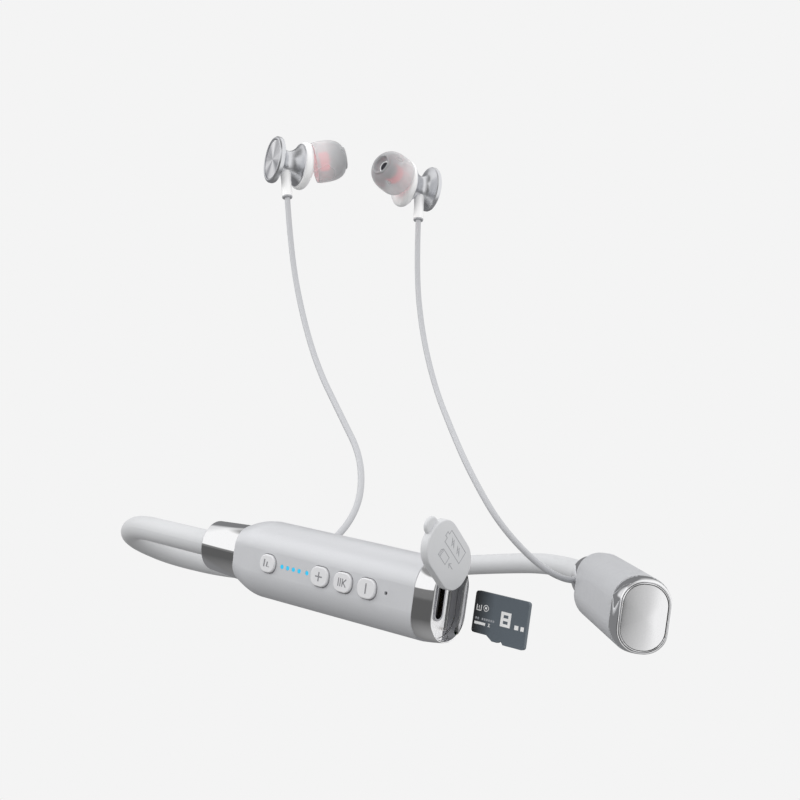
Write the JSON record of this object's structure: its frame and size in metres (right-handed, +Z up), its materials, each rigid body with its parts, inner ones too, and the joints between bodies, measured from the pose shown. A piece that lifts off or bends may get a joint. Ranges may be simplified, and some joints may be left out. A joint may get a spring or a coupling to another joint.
{
  "type": "neckband earphones",
  "caption": "Neckband earphones: a sleeved spring band joins a control pod and a battery pod, with corded metal earbuds, silicone ear tips and a memory card slot.",
  "frame": {"origin": "where the nape touches the inside of the band, at its middle", "axes": "+Z up as worn, -Y towards the pods and the open side of the band, +X towards the battery pod on the wearer's left, middle plane at X = 0"},
  "size_m": [0.1482, 0.2173, 0.1601],
  "materials": {
    "silver_sleeve": "satin silicone",
    "spring_steel": "drawn wire",
    "loom_jacket": "matt",
    "chrome_plate": "bright plating",
    "silver_shell": "fine metallic paint",
    "port_grey": "satin",
    "port_steel": "stamped sheet",
    "black_plastic": "moulded",
    "circuit_board": "solder mask",
    "key_silver": "metallic gloss",
    "light_blue": "translucent",
    "led_body": "moulded",
    "mic_can": "drawn can",
    "lid_rubber": "satin silicone",
    "card_slate": "printed",
    "end_silver": "metallic gloss",
    "cell_foil": "laminated foil",
    "spun_metal": "spun brush marks",
    "bud_metal": "polished",
    "magnet_nickel": "nickel plated",
    "white_plastic": "gloss",
    "mesh_steel": "woven",
    "clear_silicone": "translucent",
    "red_silicone": "translucent",
    "cord_jacket": "satin"
  },
  "bodies": {
    "neckband": {"band_sleeve": "silver_sleeve", "memory_wire": "spring_steel", "wiring_loom": "loom_jacket", "control_collar": "chrome_plate", "control_housing": "silver_shell", "control_bezel": "chrome_plate", "port_plate": "port_grey", "usb_shell": "port_steel", "usb_tongue": "black_plastic", "card_socket": "port_steel", "main_board": "circuit_board", "bluetooth_chip": "black_plastic", "key_board": "circuit_board", "key_switches": "port_steel", "led_windows": "light_blue", "led_chips": "led_body", "microphone": "mic_can", "battery_collar": "chrome_plate", "battery_housing": "silver_shell", "battery_bezel": "chrome_plate", "end_plate": "end_silver", "battery_cell": "cell_foil", "protection_board": "circuit_board", "right_back_plate": "spun_metal", "right_bud_body": "bud_metal", "right_clasp_magnet": "magnet_nickel", "right_speaker_driver": "port_steel", "right_front_cap": "white_plastic", "right_nozzle_mesh": "mesh_steel", "right_cord_stem": "white_plastic", "right_cord": "cord_jacket", "right_cord_relief": "cord_jacket", "left_back_plate": "spun_metal", "left_bud_body": "bud_metal", "left_clasp_magnet": "magnet_nickel", "left_speaker_driver": "port_steel", "left_front_cap": "white_plastic", "left_nozzle_mesh": "mesh_steel", "left_cord_stem": "white_plastic", "left_cord": "cord_jacket", "left_cord_relief": "cord_jacket"},
    "mode_key": {"mode_button": "key_silver"},
    "volume_up_key": {"volume_up_button": "key_silver"},
    "play_key": {"play_button": "key_silver"},
    "volume_down_key": {"volume_down_button": "key_silver"},
    "lid_pin": {"lid_stem": "lid_rubber"},
    "lid": {"port_lid": "lid_rubber"},
    "card": {"memory_card": "card_slate"},
    "right_tip": {"right_ear_tip": "clear_silicone", "right_tip_core": "red_silicone"},
    "left_tip": {"left_ear_tip": "clear_silicone", "left_tip_core": "red_silicone"}
  },
  "joints": [
    {"name": "mode_press", "type": "slide", "parent": "neckband", "child": "mode_key", "axis": [0.9107, 0.4131, 0], "range_m": [0, 0.00035], "stiffness_N_per_m": 600},
    {"name": "volume_up_press", "type": "slide", "parent": "neckband", "child": "volume_up_key", "axis": [0.9107, 0.4131, 0], "range_m": [0, 0.00035], "stiffness_N_per_m": 600},
    {"name": "play_press", "type": "slide", "parent": "neckband", "child": "play_key", "axis": [0.9107, 0.4131, 0], "range_m": [0, 0.00035], "stiffness_N_per_m": 600},
    {"name": "volume_down_press", "type": "slide", "parent": "neckband", "child": "volume_down_key", "axis": [0.9107, 0.4131, 0], "range_m": [0, 0.00035], "stiffness_N_per_m": 600},
    {"name": "lid_press", "type": "slide", "parent": "neckband", "child": "lid_pin", "axis": [-0.4131, 0.9107, 0], "range_m": [0, 0.0008]},
    {"name": "lid_swivel", "type": "hinge", "parent": "lid_pin", "child": "lid", "pos_m": [-0.02784, -0.1951, 0.03095], "axis": [0.4131, -0.9107, 0], "range_deg": [0, 128]},
    {"name": "card_slide", "type": "slide", "parent": "neckband", "child": "card", "axis": [-0.4131, 0.9107, 0], "range_m": [0, 0.0219]},
    {"name": "right_tip_pull", "type": "slide", "parent": "neckband", "child": "right_tip", "axis": [0.9088, -0.2582, 0.3278], "range_m": [0, 0.0045]},
    {"name": "left_tip_pull", "type": "slide", "parent": "neckband", "child": "left_tip", "axis": [-0.9032, -0.3493, 0.2495], "range_m": [0, 0.0045]}
  ]
}
